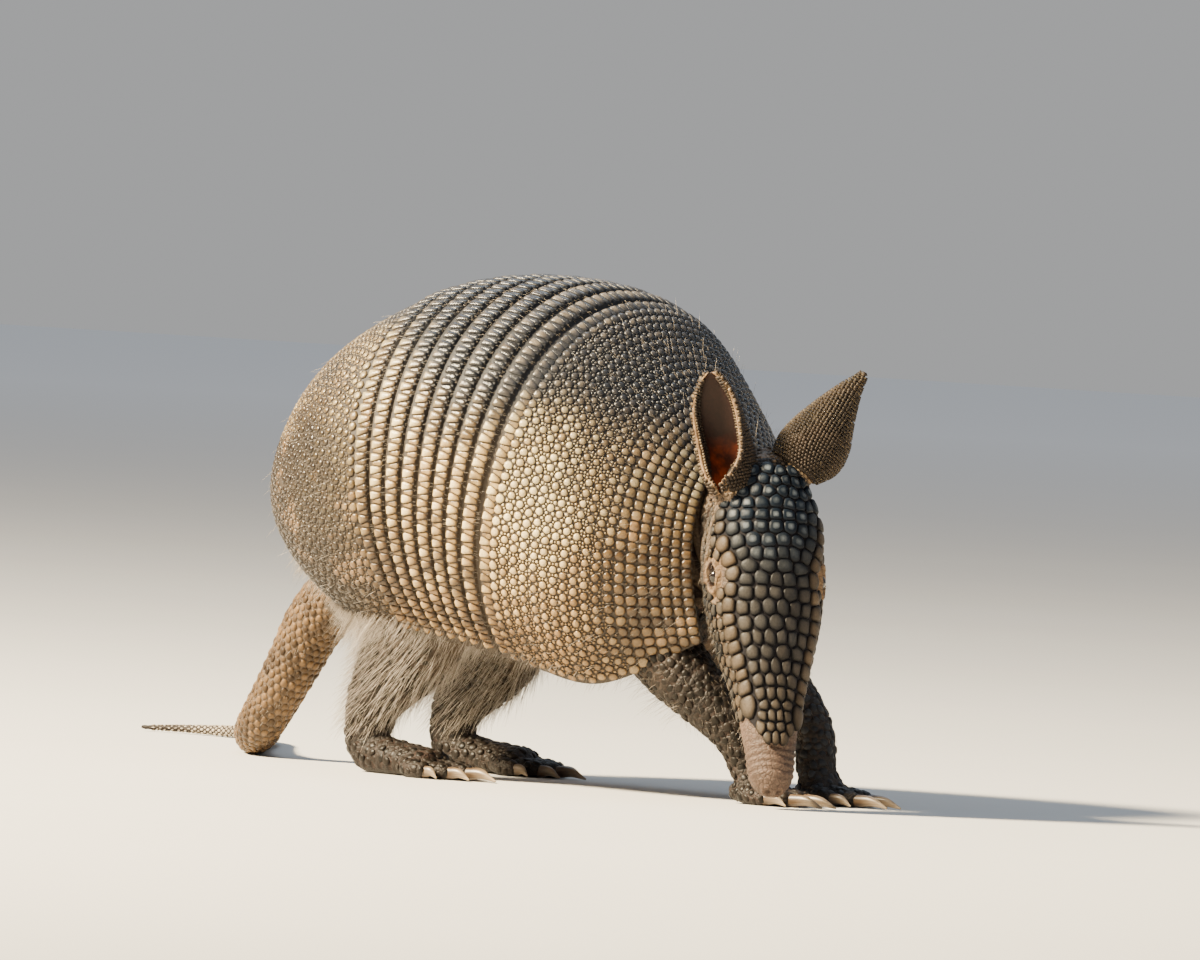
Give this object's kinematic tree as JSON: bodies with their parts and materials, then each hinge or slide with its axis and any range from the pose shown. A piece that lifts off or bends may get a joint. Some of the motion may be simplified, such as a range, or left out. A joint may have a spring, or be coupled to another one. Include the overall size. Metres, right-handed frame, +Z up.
{
  "type": "nine-banded armadillo",
  "caption": "Still, life-size armadillo with an arched banded shell, standing with its head hanging and snout at the ground, and its tail laid behind.",
  "frame": {"origin": "on the ground, under the middle of the whole animal seen from above, tail included", "axes": "+X towards the head, +Y to the animal's left, +Z up"},
  "size_m": [0.3904, 0.1892, 0.1646],
  "materials": {
    "shell": "horny scutes over bone, satin, with dust in the seams",
    "head_shield": "dark horny scutes with paler middles, satin",
    "skin": "wrinkled bare skin with small scales and coarse pale hairs, matt",
    "ear": "thin pebbled leather, matt",
    "claw": "worn horn, satin",
    "eye": "wet, glossy"
  },
  "bodies": {
    "root": {"band_1": "shell", "band_2": "shell", "band_3": "shell", "band_4": "shell", "band_5": "shell", "band_6": "shell", "band_7": "shell", "band_8": "shell", "claw_front_left_1": "claw", "claw_front_left_2": "claw", "claw_front_left_3": "claw", "claw_front_left_4": "claw", "claw_front_right_1": "claw", "claw_front_right_2": "claw", "claw_front_right_3": "claw", "claw_front_right_4": "claw", "claw_hind_left_1": "claw", "claw_hind_left_2": "claw", "claw_hind_left_3": "claw", "claw_hind_left_4": "claw", "claw_hind_left_5": "claw", "claw_hind_right_1": "claw", "claw_hind_right_2": "claw", "claw_hind_right_3": "claw", "claw_hind_right_4": "claw", "claw_hind_right_5": "claw", "ear_left": "ear", "ear_right": "ear", "eye_left": "eye", "eye_right": "eye", "foot_front_left": "skin", "foot_front_right": "skin", "foot_hind_left": "skin", "foot_hind_right": "skin", "head": "skin", "head_shield": "head_shield", "leg_front_left": "skin", "leg_front_right": "skin", "leg_hind_left": "skin", "leg_hind_right": "skin", "neck": "skin", "shield_pelvis": "shell", "shield_shoulder": "shell", "tail_1": "skin", "tail_2": "skin", "tail_3": "skin", "tail_4": "skin", "tail_5": "skin", "trunk": "skin"}
  },
  "joints": []
}
